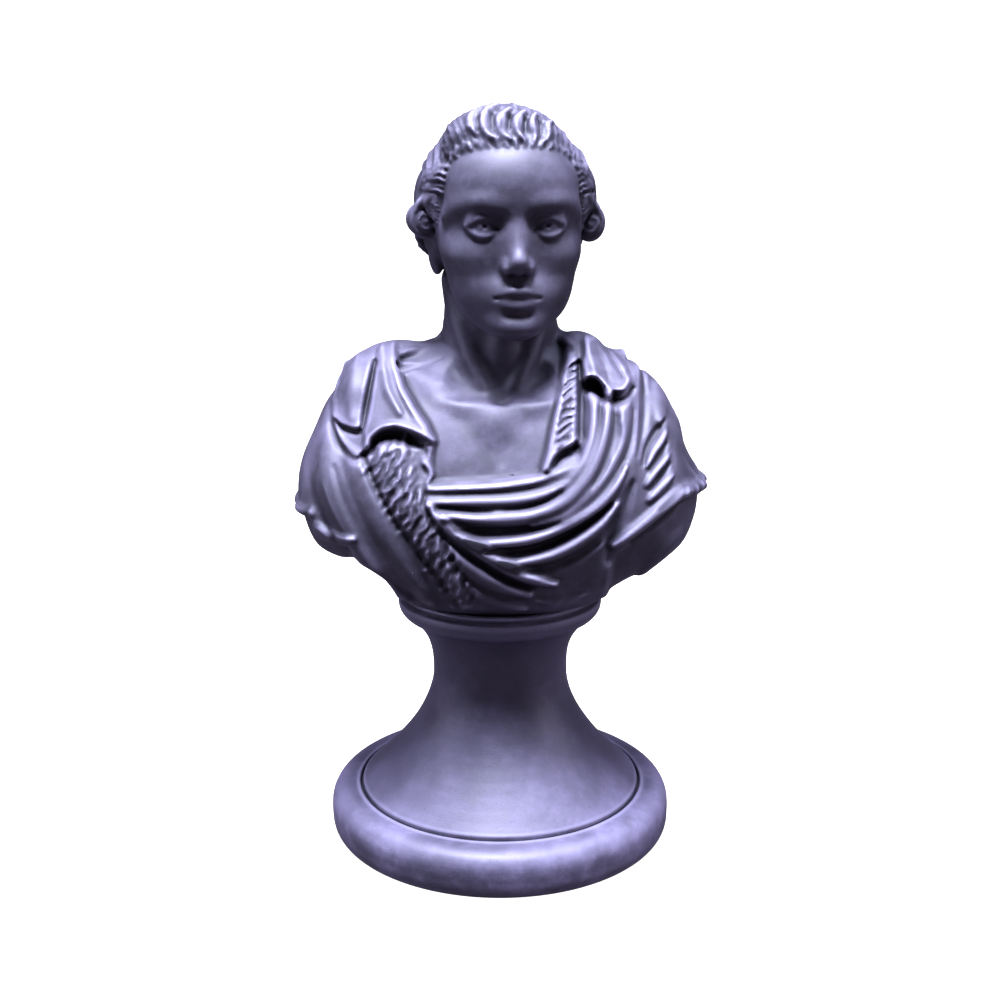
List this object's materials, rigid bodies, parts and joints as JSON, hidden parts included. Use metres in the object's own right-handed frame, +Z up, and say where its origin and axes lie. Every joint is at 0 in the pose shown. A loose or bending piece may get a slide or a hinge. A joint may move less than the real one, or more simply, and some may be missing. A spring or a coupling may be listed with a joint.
{
  "type": "bust",
  "caption": "Bust of a draped man in black unglazed stoneware, cut off below the shoulders and set on a round turned socle with a narrow waist.",
  "frame": {"origin": "centre of the socle's underside, on the plane that it stands on", "axes": "+Z up through the crown, -Y the way the chest faces, +X the figure's left"},
  "size_m": [0.1112, 0.0968, 0.2],
  "materials": {
    "bust_stoneware": "unglazed black stoneware, smooth and waxy with a soft sheen on raised parts",
    "socle_stoneware": "unglazed black stoneware, turned, with a rubbed bead and a dusty flare"
  },
  "bodies": {
    "root": {"bust": "bust_stoneware", "socle": "socle_stoneware"}
  },
  "joints": []
}
